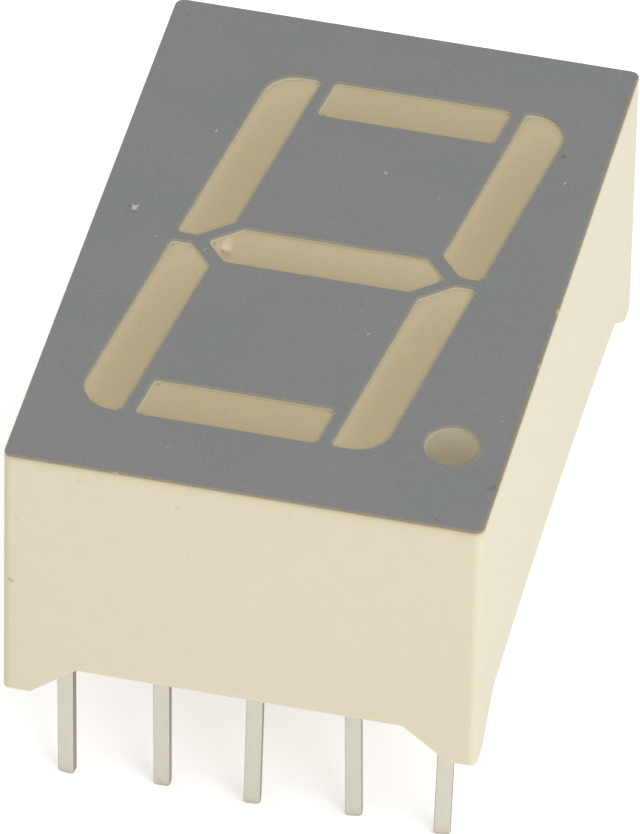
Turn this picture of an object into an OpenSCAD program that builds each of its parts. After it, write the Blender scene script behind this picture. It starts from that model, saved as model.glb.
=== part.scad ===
// Single-digit seven segment display with a decimal point.
// One moulded housing holds eight light funnels. Nine stamped leads lie behind them and turn down
// into ten pins. Each funnel has one light-emitting die on the common lead and one bond wire to the
// lead of its own segment. Clear-set epoxy fills the funnels and buries the leads, and a printed
// layer covers the face around the windows.
// X runs across the digit, Y up the digit and Z out of the face. The origin is the centre of the
// pin grid, at the level of the feet.

/* [Housing] */
// Width across the digit
body_w = 12.6; // [12.5:0.1:16]
// Length up the digit
body_l = 19.05; // [18.2:0.05:24]
// Height from the feet to the face
body_h = 8; // [6.5:0.1:11]
// Radius of the four upright edges
edge_r = 0.25; // [0.1:0.01:0.6]
// Radius along the lower outer edges
hem_r = 0.04; // [0.02:0.01:0.25]
// Radius of the four upright corners behind the core
pocket_r = 0.3; // [0.1:0.05:0.6]
// Thickness of the two long walls behind the core
side_wall = 0.8; // [0.6:0.05:0.9]
// Thickness of the two short walls behind the core
end_wall = 0.9; // [0.6:0.05:1.2]
// Height of the core's back above the feet
core_back = 2.6; // [2.55:0.05:3.2]
// How far each long wall is drawn in at the middle of its open edge
wall_bow = 0.1; // [0.05:0.01:0.15]
// Length of the drawn-in stretch, at the feet
bow_l = 18; // [14:0.5:18]
// Distance from the face to where a long wall starts to draw in
bow_start = 0.5; // [0.2:0.1:2]

/* [Feet] */
// Height of the relief between the feet
relief_h = 1; // [0.6:0.05:1.3]
// Width of a foot along the short walls
foot_w = 0.73; // [0.5:0.01:1.5]
// Run of the slope beside a foot, along the short walls
foot_run_w = 1.24; // [0.5:0.01:2]
// Length of a foot along the long walls
foot_l = 0.82; // [0.5:0.01:1.5]
// Run of the slope beside a foot, along the long walls
foot_run_l = 1.3; // [0.5:0.01:2]

/* [Digit] */
// Height of the digit
digit_h = 14.25; // [11.5:0.01:15]
// Width of the digit, before it is slanted
digit_w = 8.17; // [6.6:0.01:8.4]
// Width of the four upright strokes
upright_w = 1.33; // [1:0.01:1.6]
// Height of the three level strokes
level_h = 1.44; // [1.15:0.01:1.8]
// Clear distance between neighbouring strokes
stroke_gap = 0.34; // [0.25:0.01:0.45]
// Flat end that an upright stroke keeps at the middle of the digit
waist = 0.585; // [0.4:0.005:0.8]
// Slant of the digit, in degrees
slant = 8; // [0:0.1:10]
// Radius of the digit's four outer corners
corner_r = 0.95; // [0.4:0.01:1.2]
// Radius of every other stroke corner
nip_r = 0.15; // [0.08:0.01:0.2]
// Diameter of the decimal point
point_d = 1.51; // [1.2:0.01:1.8]
// Clear distance between the last stroke and the decimal point
point_gap = 0.87; // [0.4:0.01:1.2]

/* [Printed face] */
// Thickness of the printed layer
ink_t = 0.02; // [0.01:0.005:0.06]
// Strip left bare along the edges of the face
ink_margin = 0.02; // [0.01:0.01:0.08]
// Rim of housing that shows between the print and the epoxy
ink_lip = 0.02; // [0.01:0.005:0.05]

/* [Light funnels] */
// Length of a funnel's throat, along its stroke
throat_l = 1.5; // [1.3:0.05:2]
// Width of a funnel's throat, across its stroke
throat_w = 0.95; // [0.7:0.01:1.1]
// Diameter of the decimal point's throat
point_throat_d = 1.1; // [1:0.01:1.15]

/* [Epoxy] */
// How far the epoxy in a window lies below the housing's face
epoxy_sink = 0.05; // [0.01:0.01:0.15]
// Height of the epoxy's back surface above the feet
epoxy_back = 1.4; // [1.1:0.05:1.6]

/* [Leads] */
// Distance between neighbouring pins
pin_pitch = 2.54; // [2.1:0.01:2.54]
// Distance between the two rows of pins
row_spacing = 15.24; // [14.9:0.01:15.24]
// Length of a pin below the feet
pin_l = 4.2; // [3.4:0.1:6]
// Width of a pin
pin_w = 0.45; // [0.3:0.01:0.5]
// Thickness of the stamped sheet
sheet_t = 0.25; // [0.15:0.01:0.5]
// Radius of a pin's two tip corners
tip_r = 0.11; // [0.05:0.01:0.14]
// Radius inside the bend
bend_r = 0.2; // [0.1:0.01:0.3]
// Epoxy below a lead's shoulder, where it narrows to its pin
shoulder_cover = 0.15; // [0.1:0.01:0.2]
// How far a pin runs up into its shoulder
shoulder_grip = 0.1; // [0.05:0.01:0.15]
// Straight sheet beside a bend, before the lead may turn
landing_l = 0.3; // [0.2:0.01:0.35]
// Clear distance between the sheet and the core
sheet_gap = 0.1; // [0.05:0.01:0.3]
// Width of a lead inside the epoxy
trace_w = 0.5; // [0.35:0.01:0.55]
// Width of the common lead's spine and branches
spine_w = 0.6; // [0.4:0.01:0.65]

/* [Dice and wires] */
// Side of a square light-emitting die
die_s = 0.3; // [0.2:0.01:0.36]
// Height of a die
die_h = 0.18; // [0.1:0.01:0.25]
// Distance from a die to its bond, in the bars
wire_span = 0.7; // [0.66:0.01:0.84]
// Distance from a die to its bond, in the decimal point
point_span = 0.66; // [0.64:0.01:0.7]
// Diameter of a bond wire
wire_d = 0.03; // [0.02:0.005:0.05]
// Diameter of the flattened end of a bond wire
bond_d = 0.09; // [0.06:0.01:0.12]
// Height of the flattened end of a bond wire
bond_h = 0.02; // [0.01:0.005:0.04]

/* [Hidden] */
$fn = 48;

// Indexes of the segments in the lists below
A = 0;
B = 1;
C = 2;
D = 3;
E = 4;
F = 5;
G = 6;
DP = 7;

// Colours
cream = [0.88, 0.85, 0.75];
grey = [0.5, 0.51, 0.5];
tan = [0.71, 0.65, 0.52, 0.9];
tin = [0.8, 0.78, 0.73];
die_red = [0.45, 0.16, 0.14];
gold = [0.9, 0.7, 0.3];

// Levels, from the feet up
face_z = body_h - ink_t;
sheet_top = core_back - sheet_gap;
sheet_mid = sheet_top - sheet_t / 2;
die_top = sheet_top + die_h;
wire_z = die_top + bond_h;
shoulder_z = epoxy_back + shoulder_cover;

// A cut runs this far past the faces that it opens
past = 1;

// Half sizes of the digit
half_h = digit_h / 2;
outer_u = digit_w / 2;
inner_u = outer_u - upright_w;
half_gap = stroke_gap / 2;
// Sum of the two coordinates along the diagonal ends of the upright strokes
diagonal = outer_u - waist + half_gap;
tip_u = diagonal - stroke_gap * sqrt(2);
lean_x = tan(slant);
steps_per_mm = 15;
point_steps = 48;
bow_steps = 2000;
least_r = 0.04;

// From the middle of an upright bar to the start of the flat sheet
bend_reach = bend_r + sheet_t / 2;

// ---- Outlines ----

// A point of the upright digit, moved to its place on the slanted one
function slanted(p) = [p.x + p.y * lean_x, p.y];

function unit(v) = v / norm(v);
function heading(v) = atan2(v.y, v.x);
function turn(a, b) = (b - a + 540) % 360 - 180;
function arc_steps(r) = max(3, round(r * steps_per_mm));

// The arc of radius r that rounds corner q, between its neighbours p and s
function fillet(p, q, s, r) =
    let (
        u = unit(p - q),
        w = unit(s - q),
        half = acos(u * w) / 2,
        centre = q + unit(u + w) * r / sin(half),
        start = heading(q + u * r / tan(half) - centre),
        sweep = turn(start, heading(q + w * r / tan(half) - centre)),
        n = arc_steps(r)
    )
    [for (i = [0:n]) centre + r * [cos(start + sweep * i / n), sin(start + sweep * i / n)]];

// An outline with each corner rounded to its own radius
function rounded(points, radii) =
    let (n = len(points))
    [for (i = [0:n - 1])
        each fillet(points[(i + n - 1) % n], points[i], points[(i + 1) % n], radii[i])];

function flipped_x(points) = [for (p = points) [-p.x, p.y]];
function flipped_y(points) = [for (p = points) [p.x, -p.y]];
function drawn_in(radius, inset) = max(radius - inset, least_r);

// Corners of the upper right stroke, before the slant; the other three mirror it
function upright_corners(inset) =
    let (cut = diagonal + inset * sqrt(2))
    [
        [inner_u + inset, half_h - inset],
        [inner_u + inset, cut - inner_u - inset],
        [cut - half_gap - inset, half_gap + inset],
        [outer_u - inset, half_gap + inset],
        [outer_u - inset, half_h - inset]
    ];

// Corners of the top stroke; the bottom one mirrors it
function level_corners(inset) =
    let (u = inner_u - stroke_gap - inset, top = half_h - inset, bottom = half_h - level_h + inset)
    [[-u, bottom], [u, bottom], [u, top], [-u, top]];

// Corners of the middle stroke
function middle_corners(inset) =
    let (tip = tip_u - inset * sqrt(2), v = level_h / 2 - inset)
    [[-tip, 0], [v - tip, -v], [tip - v, -v], [tip, 0], [tip - v, v], [v - tip, v]];

// Corners of bar k before the slant, a to g
function bar_corners(k, inset) =
    k == A ? level_corners(inset) :
    k == B ? upright_corners(inset) :
    k == C ? flipped_y(upright_corners(inset)) :
    k == D ? flipped_y(level_corners(inset)) :
    k == E ? flipped_x(flipped_y(upright_corners(inset))) :
    k == F ? flipped_x(upright_corners(inset)) :
    middle_corners(inset);

// Radii of bar k's corners, in the order of bar_corners
function bar_radii(k, inset) =
    let (nip = drawn_in(nip_r, inset), corner = drawn_in(corner_r, inset))
    k == A || k == D ? [nip, nip, nip, nip] :
    k == G ? [nip, nip, nip, nip, nip, nip] :
    [nip, nip, nip, nip, corner];

// Centre of each window, before the slant
upright_u = outer_u - upright_w / 2;
upright_v = (half_gap + half_h) / 2;
level_v = half_h - level_h / 2;
point_v = point_d / 2 - half_h;
point_u = outer_u + point_gap + point_d / 2;
CENTRES = [
    [0, level_v],
    [upright_u, upright_v],
    [upright_u, -upright_v],
    [0, -level_v],
    [-upright_u, -upright_v],
    [-upright_u, upright_v],
    [0, 0],
    [point_u, point_v]
];

function is_level(k) = k == A || k == D || k == G;

// Window k's outline on the face, drawn in by an inset
function point_ring(r) = [for (i = [0:point_steps - 1])
    slanted(CENTRES[DP]) + r * [cos(360 * i / point_steps), sin(360 * i / point_steps)]];
function window(k, inset) =
    k == DP ? point_ring(point_d / 2 - inset)
    : anticlockwise(rounded([for (p = bar_corners(k, inset)) slanted(p)], bar_radii(k, inset)));

function area2(points) =
    let (n = len(points))
    [for (i = [0:n - 1]) cross(points[i], points[(i + 1) % n])] * [for (i = [0:n - 1]) 1];
function anticlockwise(points) =
    let (n = len(points))
    area2(points) > 0 ? points : [for (i = [0:n - 1]) points[n - 1 - i]];

// Length of bar k's outline along X and Y, before the slant
function bar_size(k) =
    k == G ? [2 * tip_u, level_h] :
    is_level(k) ? [2 * (inner_u - stroke_gap), level_h] :
    [upright_w, half_h - half_gap];

// Window k's outline shrunk to its throat
function throat_size(k) = is_level(k) ? [throat_l, throat_w] : [throat_w, throat_l];
function throat(k) =
    k == DP ? point_ring(point_throat_d / 2)
    : let (
        c = CENTRES[k],
        size = bar_size(k),
        s = [throat_size(k).x / size.x, throat_size(k).y / size.y]
    )
    [for (p = window(k, ink_lip))
        let (u = p.x - p.y * lean_x)
        slanted([c.x + s.x * (u - c.x), c.y + s.y * (p.y - c.y)])];

// ---- Shapes shared by the pieces ----

// A solid between two outlines with equally many points, the upper one first
module loft(upper, lower, z_upper, z_lower) {
    n = len(upper);
    polyhedron(
        points = concat(
            [for (p = lower) [p.x, p.y, z_lower]],
            [for (p = upper) [p.x, p.y, z_upper]]
        ),
        faces = concat(
            [[for (i = [0:n - 1]) i]],
            [[for (i = [0:n - 1]) 2 * n - 1 - i]],
            [for (i = [0:n - 1]) [i, i + n, (i + 1) % n + n]],
            [for (i = [0:n - 1]) [i, (i + 1) % n + n, (i + 1) % n]]
        )
    );
}

module prism(outline, z0, z1) {
    translate([0, 0, z0])
        linear_extrude(z1 - z0)
            polygon(outline);
}

// Light funnel k, from the face to just below the core's back
module funnel(k) {
    loft(window(k, ink_lip), throat(k), face_z, core_back);
    prism(throat(k), sheet_top, core_back);
}

module rounded_rectangle(w, l, r) {
    square([w - 2 * r, l], center = true);
    square([w, l - 2 * r], center = true);
    for (x = [-1, 1], y = [-1, 1])
        translate([x * (w / 2 - r), y * (l / 2 - r)])
            circle(r);
}

// Side view of the housing: hem corners rounded, and a relief left between two feet
module elevation(w, foot, run) {
    difference() {
        union() {
            translate([-w / 2, hem_r])
                square([w, body_h]);
            translate([hem_r - w / 2, 0])
                square([w - 2 * hem_r, 2 * hem_r]);
            for (x = [-1, 1])
                translate([x * (w / 2 - hem_r), hem_r])
                    circle(hem_r);
        }
        inner = w / 2 - foot;
        reach = run * past / relief_h;
        polygon([
            [-inner - reach, -past],
            [inner + reach, -past],
            [inner - run, relief_h],
            [run - inner, relief_h]
        ]);
    }
}

// The space behind the core, from height z0 to z1
module back_space(z0, z1) {
    translate([0, 0, z0])
        linear_extrude(z1 - z0)
            rounded_rectangle(body_w - 2 * side_wall, body_l - 2 * end_wall, pocket_r);
}

// The wide, shallow hollow that draws in a long wall
module bow_cutter() {
    r = (bow_l * bow_l / 4 + wall_bow * wall_bow) / (2 * wall_bow);
    pivot_z = body_h - bow_start;
    translate([body_w / 2, 0, pivot_z])
        rotate([0, atan(wall_bow / pivot_z), 0])
            translate([r, 0, -body_h])
                cylinder(r = r, h = 4 * body_h, center = true, $fn = bow_steps);
}

// ---- Housing and print ----

module housing() {
    color(cream)
        difference() {
            intersection() {
                linear_extrude(face_z)
                    rounded_rectangle(body_w, body_l, edge_r);
                translate([0, body_l, 0])
                    rotate([90, 0, 0])
                        linear_extrude(2 * body_l)
                            elevation(body_w, foot_w, foot_run_w);
                translate([-body_w, 0, 0])
                    rotate([90, 0, 90])
                        linear_extrude(2 * body_w)
                            elevation(body_l, foot_l, foot_run_l);
            }
            back_space(-past, core_back);
            for (k = [A:DP]) {
                funnel(k);
                prism(window(k, ink_lip), face_z, face_z + past);
            }
            for (side = [0, 1])
                mirror([side, 0, 0])
                    bow_cutter();
        }
}

module face_print() {
    color(grey)
        translate([0, 0, face_z])
            linear_extrude(ink_t)
                difference() {
                    rounded_rectangle(
                        body_w - 2 * ink_margin, body_l - 2 * ink_margin, edge_r - ink_margin);
                    for (k = [A:DP])
                        polygon(window(k, 0));
                }
}

// ---- Leads ----

// How far the roots of pins 1 to 5 sit to the right of the grid
STRAY = [0.03, 0.05, 0.05, 0.06, 0.09];

// Pins 1 to 5 run left to right along the front, and 6 to 10 right to left along the back
function pin_place(n) =
    n <= 5 ? [(n - 3) * pin_pitch + STRAY[n - 1], -row_spacing / 2]
    : [(8 - n) * pin_pitch, row_spacing / 2];

// How handling has left pins 1 to 6: the shift of the tip across the row and inwards, and the
// twist in degrees, each seen with the row in front
SET = [
    [0.1, -0.1, -8.5],
    [0.06, 0.02, 2],
    [-0.05, -0.08, 6],
    [0.11, 0.09, 9],
    [-0.09, -0.01, 11.5],
    [0.43, 0, 0]
];
function pin_set(n) = n <= 6 ? SET[n - 1] : [0, 0, 0];

// A flat bar of sheet that stands upright, from height z0 to z1
module upright_bar(w, z0, z1) {
    translate([-w / 2, -sheet_t / 2, z0])
        cube([w, sheet_t, z1 - z0]);
}

// A pin's blade below the seat, with its two tip corners rounded
module blade(z_tip, z_top) {
    rotate([90, 0, 0])
        linear_extrude(sheet_t, center = true) {
            translate([-pin_w / 2, z_tip + tip_r])
                square([pin_w, z_top - z_tip - tip_r]);
            translate([tip_r - pin_w / 2, z_tip])
                square([pin_w - 2 * tip_r, 2 * tip_r]);
            for (x = [-1, 1])
                translate([x * (pin_w / 2 - tip_r), z_tip + tip_r])
                    circle(tip_r);
        }
}

// The bend from an upright bar at the origin into the sheet, which comes from +Y
module bend() {
    rotate([90, 0, -90])
        translate([-bend_reach, -bend_reach])
            linear_extrude(trace_w, center = true)
                intersection() {
                    difference() {
                        circle(bend_r + sheet_t);
                        circle(bend_r);
                    }
                    square(bend_r + sheet_t);
                }
}

// Pin n: its bend and shoulder inside the epoxy, and its blade as handling has left it
module pin(n) {
    place = pin_place(n);
    set = pin_set(n);
    drop = shoulder_z + pin_l;
    translate([place.x, place.y, 0])
        rotate(place.y > 0 ? 180 : 0) {
            translate([0, 0, sheet_mid])
                bend();
            upright_bar(trace_w, shoulder_z, sheet_mid - bend_reach);
            translate([0, 0, shoulder_z])
                rotate([atan(set.y / drop), -atan(set.x / drop), set.z])
                    blade(-drop, shoulder_grip);
        }
}

// A strip of sheet along a path. Its ends are square, and points first to last of it are round
module strip(path, w, first, last) {
    translate([0, 0, sheet_top - sheet_t])
        linear_extrude(sheet_t) {
            for (i = [first:last])
                translate(path[i])
                    circle(d = w);
            for (i = [1:len(path) - 1]) {
                step = path[i] - path[i - 1];
                translate(path[i - 1])
                    rotate(heading(step))
                        translate([0, -w / 2])
                            square([norm(step), w]);
            }
        }
}

// Where pin n's bend hands over to the flat sheet, and where the sheet may first turn
function landing(n, run) =
    let (p = pin_place(n))
    [p.x, p.y - sign(p.y) * (bend_reach + run)];
function landings(n) = [landing(n, 0), landing(n, landing_l)];

// Along each window, the way from its die to its bond
upright_way = unit([lean_x, 1]);
WAYS = [[1, 0], upright_way, -upright_way, [-1, 0], -upright_way, upright_way, [-1, 0], [0, -1]];
function span(k) = k == DP ? point_span : wire_span;
function die_place(k) = slanted(CENTRES[k]) - WAYS[k] * span(k) / 2;
function bond_place(k) = slanted(CENTRES[k]) + WAYS[k] * span(k) / 2;

// Each segment lead: its pin, and the turns of its path from the pin to the bond
PINS = [7, 6, 4, 2, 1, 9, 10, 5];
elbow = 2 * trace_w;
TURNS = [
    [[pin_place(7).x, level_v]],
    [],
    [],
    [[pin_place(2).x, -level_v]],
    [],
    [],
    [[pin_place(10).x, elbow], [pin_place(10).x + elbow, 0]],
    []
];

module segment_lead(k) {
    path = concat(landings(PINS[k]), TURNS[k], [bond_place(k)]);
    color(tin) {
        strip(path, trace_w, 1, len(path) - 1);
        pin(PINS[k]);
    }
}

// The common lead: a spine between pins 3 and 8, and branches to the upright bars and the point
module common_lead() {
    spine = concat(
        landings(8),
        [die_place(A), die_place(G), die_place(D)],
        [landing(3, landing_l), landing(3, 0)]
    );
    upper = [die_place(F), die_place(B)];
    lower = [die_place(E), [die_place(DP).x, die_place(C).y], die_place(DP)];
    color(tin) {
        strip(spine, spine_w, 1, len(spine) - 2);
        strip(upper, spine_w, 0, len(upper) - 1);
        strip(lower, spine_w, 0, len(lower) - 1);
        pin(3);
        pin(8);
    }
}

// ---- Dice and wires ----

module die(k) {
    color(die_red)
        translate([die_place(k).x, die_place(k).y, sheet_top + die_h / 2])
            rotate(heading(WAYS[k]))
                cube([die_s, die_s, die_h], center = true);
}

// A bond wire: flattened on the die, over in a half loop, and down to the lead
module bond_wire(k) {
    middle = slanted(CENTRES[k]);
    color(gold)
        translate([middle.x, middle.y, 0])
            rotate(heading(WAYS[k])) {
                translate([0, 0, wire_z])
                    rotate([90, 0, 0])
                        rotate_extrude(angle = 180)
                            translate([span(k) / 2, 0])
                                circle(d = wire_d);
                translate([-span(k) / 2, 0, die_top])
                    cylinder(d = bond_d, h = bond_h);
                translate([span(k) / 2, 0, sheet_top]) {
                    cylinder(d = wire_d, h = wire_z - sheet_top);
                    cylinder(d = bond_d, h = bond_h);
                }
            }
}

// ---- Epoxy ----

module epoxy_fill() {
    color(tan)
        difference() {
            union() {
                back_space(epoxy_back, core_back);
                for (k = [A:DP])
                    funnel(k);
            }
            // The air above the epoxy in the windows
            translate([-body_w / 2, -body_l / 2, face_z - epoxy_sink])
                cube([body_w, body_l, past]);
            common_lead();
            for (k = [A:DP]) {
                segment_lead(k);
                die(k);
                bond_wire(k);
            }
        }
}

housing();
face_print();
epoxy_fill();
common_lead();
segment_lead(A);  // lead_a
segment_lead(B);  // lead_b
segment_lead(C);  // lead_c
segment_lead(D);  // lead_d
segment_lead(E);  // lead_e
segment_lead(F);  // lead_f
segment_lead(G);  // lead_g
segment_lead(DP);  // lead_dp
die(A);  // die_a
die(B);  // die_b
die(C);  // die_c
die(D);  // die_d
die(E);  // die_e
die(F);  // die_f
die(G);  // die_g
die(DP);  // die_dp
bond_wire(A);  // wire_a
bond_wire(B);  // wire_b
bond_wire(C);  // wire_c
bond_wire(D);  // wire_d
bond_wire(E);  // wire_e
bond_wire(F);  // wire_f
bond_wire(G);  // wire_g
bond_wire(DP);  // wire_dp
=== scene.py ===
"""Looks of a seven segment display with a decimal point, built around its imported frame.

The frame gives every piece its shape and place. This script softens the pins' edges, lays narrow
bands along the outlines of the face, dresses all the pieces in procedural finishes, and sets the
floor, the light and the camera. X runs across the digit, Y up the digit and Z out of the face.
Lengths are written in millimetres and become metres where they reach Blender.
"""

import logging
import math
from dataclasses import dataclass, replace
from enum import Enum
from typing import Callable, Sequence, Union

import bmesh
import bpy
from mathutils import Matrix, Vector

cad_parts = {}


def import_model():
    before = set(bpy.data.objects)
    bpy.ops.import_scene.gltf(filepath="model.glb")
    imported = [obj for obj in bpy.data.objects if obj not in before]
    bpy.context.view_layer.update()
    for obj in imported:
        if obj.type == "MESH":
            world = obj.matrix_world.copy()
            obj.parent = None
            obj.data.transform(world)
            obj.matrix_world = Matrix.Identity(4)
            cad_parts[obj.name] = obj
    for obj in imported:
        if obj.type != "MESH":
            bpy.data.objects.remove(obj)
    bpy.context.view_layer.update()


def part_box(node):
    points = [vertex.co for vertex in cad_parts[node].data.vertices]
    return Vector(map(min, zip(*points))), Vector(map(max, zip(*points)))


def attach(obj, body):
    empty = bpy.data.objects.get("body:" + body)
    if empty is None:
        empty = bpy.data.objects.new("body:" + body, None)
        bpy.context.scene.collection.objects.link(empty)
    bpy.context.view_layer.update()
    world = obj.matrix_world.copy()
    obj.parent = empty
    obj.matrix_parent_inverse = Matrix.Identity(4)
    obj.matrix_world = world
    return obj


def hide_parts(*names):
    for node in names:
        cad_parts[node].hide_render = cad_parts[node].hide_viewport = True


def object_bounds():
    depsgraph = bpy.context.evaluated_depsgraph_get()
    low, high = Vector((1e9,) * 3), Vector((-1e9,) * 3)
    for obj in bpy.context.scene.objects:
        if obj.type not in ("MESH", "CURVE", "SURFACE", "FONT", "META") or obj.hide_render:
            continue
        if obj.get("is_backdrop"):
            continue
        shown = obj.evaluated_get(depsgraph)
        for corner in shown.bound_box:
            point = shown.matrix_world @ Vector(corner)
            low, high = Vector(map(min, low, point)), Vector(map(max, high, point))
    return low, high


MM = 0.001
BODY = "root"
LETTERS = ("a", "b", "c", "d", "e", "f", "g", "dp")
BRIM = "nearness"
LOG = logging.getLogger("display")

Colour = tuple[float, float, float, float]
Point = tuple[float, float, float]
Pair = tuple[float, float]
Socket = bpy.types.NodeSocket
Sockets = dict[str, Socket]
Wired = Union[Socket, float, Sequence[float]]


def srgb(red: int, green: int, blue: int) -> Colour:
    """Turns a colour given in 0 to 255 screen values into linear light.

    Args:
        red: Red channel.
        green: Green channel.
        blue: Blue channel.

    Returns:
        The linear colour, with full alpha.
    """

    def linear(channel: int) -> float:
        """Returns one channel in linear light."""
        share = channel / 255
        return share / 12.92 if share <= 0.04045 else ((share + 0.055) / 1.055) ** 2.4

    return (linear(red), linear(green), linear(blue), 1.0)


def metres(point: Sequence[float]) -> Point:
    """Returns a point in millimetres as one in metres."""
    x, y, z = point
    return (x * MM, y * MM, z * MM)


def lowest(node: str) -> Point:
    """Returns the lowest corner of a CAD node's box."""
    return tuple(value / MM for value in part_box(node)[0])


def highest(node: str) -> Point:
    """Returns the highest corner of a CAD node's box."""
    return tuple(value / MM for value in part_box(node)[1])


class SocketKind(Enum):
    """The kinds of socket that the shader groups use."""

    NUMBER = "NodeSocketFloat"
    VECTOR = "NodeSocketVector"


class Sheet:
    """A node tree, with short ways to add nodes and join them."""

    def __init__(self, tree: bpy.types.NodeTree) -> None:
        """Takes the tree to work on."""
        self.tree = tree

    def plug(self, socket: Socket, value: Wired) -> None:
        """Joins a socket to another one, or sets its own value.

        Args:
            socket: The input to feed.
            value: An output socket, a number, or a vector or colour.
        """
        if isinstance(value, Socket):
            self.tree.links.new(value, socket)
        else:
            socket.default_value = value

    def add(self, kind: str, inputs: dict[Union[str, int], Wired], **settings: object) -> bpy.types.Node:
        """Adds a node.

        Args:
            kind: Blender's name for the node's type.
            inputs: What feeds each input, by name or by index.
            **settings: Properties of the node itself.

        Returns:
            The new node.
        """
        node = self.tree.nodes.new(kind)
        for name, value in settings.items():
            setattr(node, name, value)
        for key, value in inputs.items():
            self.plug(node.inputs[key], value)
        return node

    def math(self, operation: str, *values: Wired) -> Socket:
        """Adds a Math node and returns its result."""
        return self.add("ShaderNodeMath", dict(enumerate(values)), operation=operation).outputs[0]

    def times(self, first: Wired, second: Wired) -> Socket:
        """Returns the product of two numbers."""
        return self.math("MULTIPLY", first, second)

    def plus(self, first: Wired, second: Wired) -> Socket:
        """Returns the sum of two numbers."""
        return self.math("ADD", first, second)

    def minus(self, first: Wired, second: Wired) -> Socket:
        """Returns the first number less the second."""
        return self.math("SUBTRACT", first, second)

    def above(self, value: Wired, limit: Wired) -> Socket:
        """Returns 1 where a number is above a limit, and 0 elsewhere."""
        return self.math("GREATER_THAN", value, limit)

    def below(self, value: Wired, limit: Wired) -> Socket:
        """Returns 1 where a number is below a limit, and 0 elsewhere."""
        return self.math("LESS_THAN", value, limit)

    def held(self, value: Wired, least: float, most: float) -> Socket:
        """Returns a number, kept between two limits."""
        return self.math("MINIMUM", self.math("MAXIMUM", value, least), most)

    def size(self, value: Wired) -> Socket:
        """Returns a number without its sign."""
        return self.math("ABSOLUTE", value)

    def vector(self, operation: str, *values: Wired) -> Socket:
        """Adds a Vector Math node and returns its vector."""
        return self.add("ShaderNodeVectorMath", dict(enumerate(values)), operation=operation).outputs[0]

    def measure(self, operation: str, *values: Wired) -> Socket:
        """Adds a Vector Math node and returns its number, such as a length or a dot product."""
        return self.add("ShaderNodeVectorMath", dict(enumerate(values)), operation=operation).outputs[1]

    def scaled(self, vector: Wired, scale: Wired) -> Socket:
        """Returns a vector times a number."""
        node = self.add("ShaderNodeVectorMath", {0: vector, "Scale": scale}, operation="SCALE")
        return node.outputs[0]

    def smooth(self, value: Wired, start: Wired, end: Wired) -> Socket:
        """Returns a number that eases from 0 at start to 1 at end."""
        inputs = {0: value, 1: start, 2: end}
        return self.add("ShaderNodeMapRange", inputs, interpolation_type="SMOOTHSTEP").outputs[0]

    def lerp(self, factor: Wired, low: Wired, high: Wired) -> Socket:
        """Returns the number that lies between low and high by factor."""
        return self.add("ShaderNodeMapRange", {0: factor, 3: low, 4: high}).outputs[0]

    def blend(self, factor: Wired, under: Wired, over: Wired) -> Socket:
        """Returns the colour that lies between under and over by factor."""
        return self.add("ShaderNodeMix", {0: factor, 6: under, 7: over}, data_type="RGBA").outputs[2]

    def fading(self, distance: Wired, reach: Wired) -> Socket:
        """Returns a number that falls from 1 at no distance towards 0, over the reach."""
        return self.math("EXPONENT", self.times(self.math("DIVIDE", distance, reach), -1.0))

    def noise(self, position: Wired, cell: Wired, detail: float = 2.0) -> Socket:
        """Returns smooth noise around 0.5.

        Args:
            position: The point to read it at, in metres.
            cell: Width of its waves.
            detail: How many times finer waves are laid over them.

        Returns:
            The noise.
        """
        scale = 1 / (cell * MM) if isinstance(cell, float) else self.math("DIVIDE", 1 / MM, cell)
        inputs = {"Vector": position, "Scale": scale, "Detail": detail}
        return self.add("ShaderNodeTexNoise", inputs).outputs["Fac"]

    def split(self, vector: Wired) -> tuple[Socket, ...]:
        """Returns the three parts of a vector."""
        return tuple(self.add("ShaderNodeSeparateXYZ", {0: vector}).outputs)

    def join(self, x: Wired, y: Wired, z: Wired) -> Socket:
        """Returns the vector of three parts."""
        return self.add("ShaderNodeCombineXYZ", {0: x, 1: y, 2: z}).outputs[0]

    def place(self) -> Socket:
        """Returns the shaded point in the piece's own coordinates, in metres."""
        return self.add("ShaderNodeTexCoord", {}).outputs["Object"]

    def nearness(self) -> Socket:
        """Returns the mesh's own number that is 1 or -1 on its outlines and 0 a brim's width inside."""
        return self.add("ShaderNodeAttribute", {}, attribute_name=BRIM).outputs["Fac"]

    def use(self, group: bpy.types.NodeTree, **inputs: Wired) -> Sockets:
        """Places a shared shader group with the given inputs, and returns its outputs by name."""
        return self.add("ShaderNodeGroup", inputs, node_tree=group).outputs


@dataclass(frozen=True)
class Wander:
    """A number that wanders smoothly from place to place.

    Attributes:
        cell: Width of its waves.
        least: Its value where they are lowest.
        most: Its value where they are highest.
    """

    cell: float
    least: float
    most: float

    def at(self, sheet: Sheet, position: Wired) -> Socket:
        """Returns the number at a point."""
        return sheet.lerp(sheet.noise(position, self.cell, detail=3.0), self.least, self.most)


def shader_group(
    name: str,
    inputs: dict[str, SocketKind],
    outputs: dict[str, SocketKind],
    draw: Callable[[Sheet, Sockets], Sockets],
) -> bpy.types.NodeTree:
    """Makes a shader group with named sockets.

    Args:
        name: The group's name.
        inputs: Its inputs.
        outputs: Its outputs.
        draw: Fills the group. It is given the sheet and the inputs, and returns the outputs.

    Returns:
        The group.
    """
    tree = bpy.data.node_groups.new(name, "ShaderNodeTree")
    for label, kind in inputs.items():
        tree.interface.new_socket(label, in_out="INPUT", socket_type=kind.value)
    for label, kind in outputs.items():
        tree.interface.new_socket(label, in_out="OUTPUT", socket_type=kind.value)
    sheet = Sheet(tree)
    source = sheet.add("NodeGroupInput", {})
    drawn = draw(sheet, {label: source.outputs[label] for label in inputs})
    sheet.add("NodeGroupOutput", dict(drawn))
    return tree


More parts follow.
